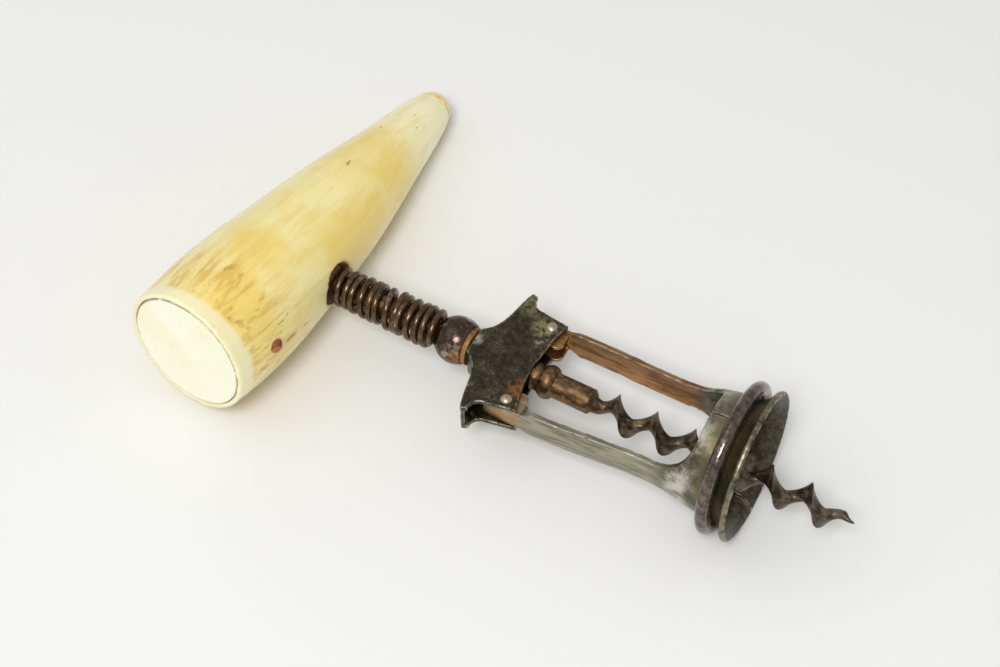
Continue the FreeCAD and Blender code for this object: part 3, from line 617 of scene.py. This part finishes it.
def tube(name, path, radius, sides):
    """Closed mesh tube along a path, in the world's axes, with rounded ends."""
    mesh = bpy.data.meshes.new(name)
    shape = bmesh.new()
    rings = []
    up = Vector((1, 0, 0))
    for number, point in enumerate(path):
        ahead = path[min(number + 1, len(path) - 1)] - path[max(number - 1, 0)]
        ahead.normalize()
        side = ahead.cross(up).normalized()
        over = side.cross(ahead)
        end = min(number, len(path) - 1 - number)
        size = radius * (1 if end > 2 else math.sqrt(1 - (1 - (end + 0.6) / 3.0) ** 2))
        ring = []
        for k in range(sides):
            angle = 2 * math.pi * k / sides
            ring.append(shape.verts.new(point + (side * math.cos(angle) + over * math.sin(angle)) * size))
        rings.append(ring)
    for ring, after in zip(rings, rings[1:]):
        for k in range(sides):
            shape.faces.new((ring[k], ring[(k + 1) % sides], after[(k + 1) % sides], after[k]))
    shape.faces.new(rings[0][::-1])
    shape.faces.new(rings[-1])
    bmesh.ops.recalc_face_normals(shape, faces=shape.faces)
    shape.to_mesh(mesh)
    shape.free()
    piece = bpy.data.objects.new(name, mesh)
    bpy.context.scene.collection.objects.link(piece)
    return piece


def make_spring(material):
    path = [SHANK @ point for point in spring_path()]
    piece = tube("spring_wound", path, SPRING_WIRE * MM, SPRING_SIDES)
    finish_piece(piece, "spring", "handle", material)
    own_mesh(piece)


# ---------------------------------------------------------------- camera, floor and light

CAMERA_AIM = (-10.80, 6.56, -1.21)      # mm from the middle of the two hinge pins
CAMERA_AZIMUTH = 28.61                  # degrees
CAMERA_ELEVATION = 54.22
CAMERA_ROLL = 1.24
CAMERA_DISTANCE = 489.5                 # mm
CAMERA_LENS = 82.87                     # mm
CAMERA_SENSOR = 36.0                    # mm across
FLOOR_REACH = 3.0                       # m each way
FLOOR_COLOUR = rgb(236, 236, 233)
SKY_STRENGTH = 0.50

# Name, place in metres, size in metres and power in watts.
LIGHTS = [
    ("window", (0.12, -0.58, 0.92), 0.32, 6.4),
    ("overhead", (-0.5, -0.3, 1.1), 1.0, 2.0),
]


def make_camera():
    """Camera that looks down on the corkscrew from the near side."""
    azimuth = math.radians(CAMERA_AZIMUTH)
    elevation = math.radians(CAMERA_ELEVATION)
    back = Vector((math.sin(azimuth) * math.cos(elevation),
                   -math.cos(azimuth) * math.cos(elevation), math.sin(elevation)))
    data = bpy.data.cameras.new("Camera")
    data.lens = CAMERA_LENS
    data.sensor_width = CAMERA_SENSOR
    data.clip_start = 0.01
    data.clip_end = 20.0
    camera = bpy.data.objects.new("Camera", data)
    camera.location = JOINT + (Vector(CAMERA_AIM) + back * CAMERA_DISTANCE) * MM
    turn = back.to_track_quat("Z", "Y").to_matrix().to_4x4()
    camera.rotation_euler = (turn @ Matrix.Rotation(math.radians(CAMERA_ROLL), 4, "Z")).to_euler()
    bpy.context.scene.collection.objects.link(camera)
    bpy.context.scene.camera = camera


def make_floor():
    """The pale table."""
    mesh = bpy.data.meshes.new("floor")
    corners = [(x * FLOOR_REACH, y * FLOOR_REACH, 0) for x, y in ((-1, -1), (1, -1), (1, 1), (-1, 1))]
    mesh.from_pydata(corners, [], [(0, 1, 2, 3)])
    floor = bpy.data.objects.new("floor", mesh)
    bpy.context.scene.collection.objects.link(floor)
    material = bpy.data.materials.new("floor_paper")
    material.use_nodes = True
    shader = material.node_tree.nodes["Principled BSDF"]
    shader.inputs["Base Color"].default_value = FLOOR_COLOUR
    shader.inputs["Roughness"].default_value = 0.7
    shader.inputs["Specular IOR Level"].default_value = 0.2
    mesh.materials.append(material)


def make_light(name, location, size, power):
    """A square light that faces the origin."""
    data = bpy.data.lights.new(name, "AREA")
    data.size = size
    data.energy = power
    lamp = bpy.data.objects.new(name, data)
    lamp.location = location
    lamp.rotation_euler = Vector(location).to_track_quat("Z", "Y").to_euler()
    bpy.context.scene.collection.objects.link(lamp)


def make_lights():
    """A white sky, a window on the near side and a weaker light overhead."""
    world = bpy.data.worlds.new("Studio")
    world.use_nodes = True
    background = world.node_tree.nodes["Background"]
    background.inputs["Color"].default_value = (1, 1, 1, 1)
    background.inputs["Strength"].default_value = SKY_STRENGTH
    bpy.context.scene.world = world
    for name, location, size, power in LIGHTS:
        make_light(name, location, size, power)


# ---------------------------------------------------------------- assembly

# node: body, voxel in mm, dent depth in mm, dents per mm, seed
WORN = {
    "tusk_handle": ("handle", 0.45, 0.10, 0.05, 1),
    "end_plug": ("handle", 0.35, 0.05, 0.08, 2),
    "tip_cap": ("handle", 0.15, 0.06, 0.5, 3),
    "thrust_ball": ("thrust", 0.2, 0.06, 0.35, 4),
    "head_saddle": ("head", 0.16, 0.10, 0.45, 5),
    "frame_half_near": ("half_near", 0.2, 0.09, 0.3, 6),
    "frame_half_far": ("half_far", 0.2, 0.09, 0.3, 7),
    "locking_ring": ("ring", 0.2, 0.07, 0.3, 8),
}


def build():
    made = materials()
    for node, (body, voxel, depth, scale, seed) in WORN.items():
        worn_piece(node, body, made[node], voxel, depth, scale, seed)
    make_spring(made["spring"])
    for node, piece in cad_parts.items():
        piece.data.materials.clear()
        piece.data.materials.append(made[node])
    bpy.context.scene.view_settings.view_transform = "Standard"
    make_camera()
    make_floor()
    make_lights()


build()
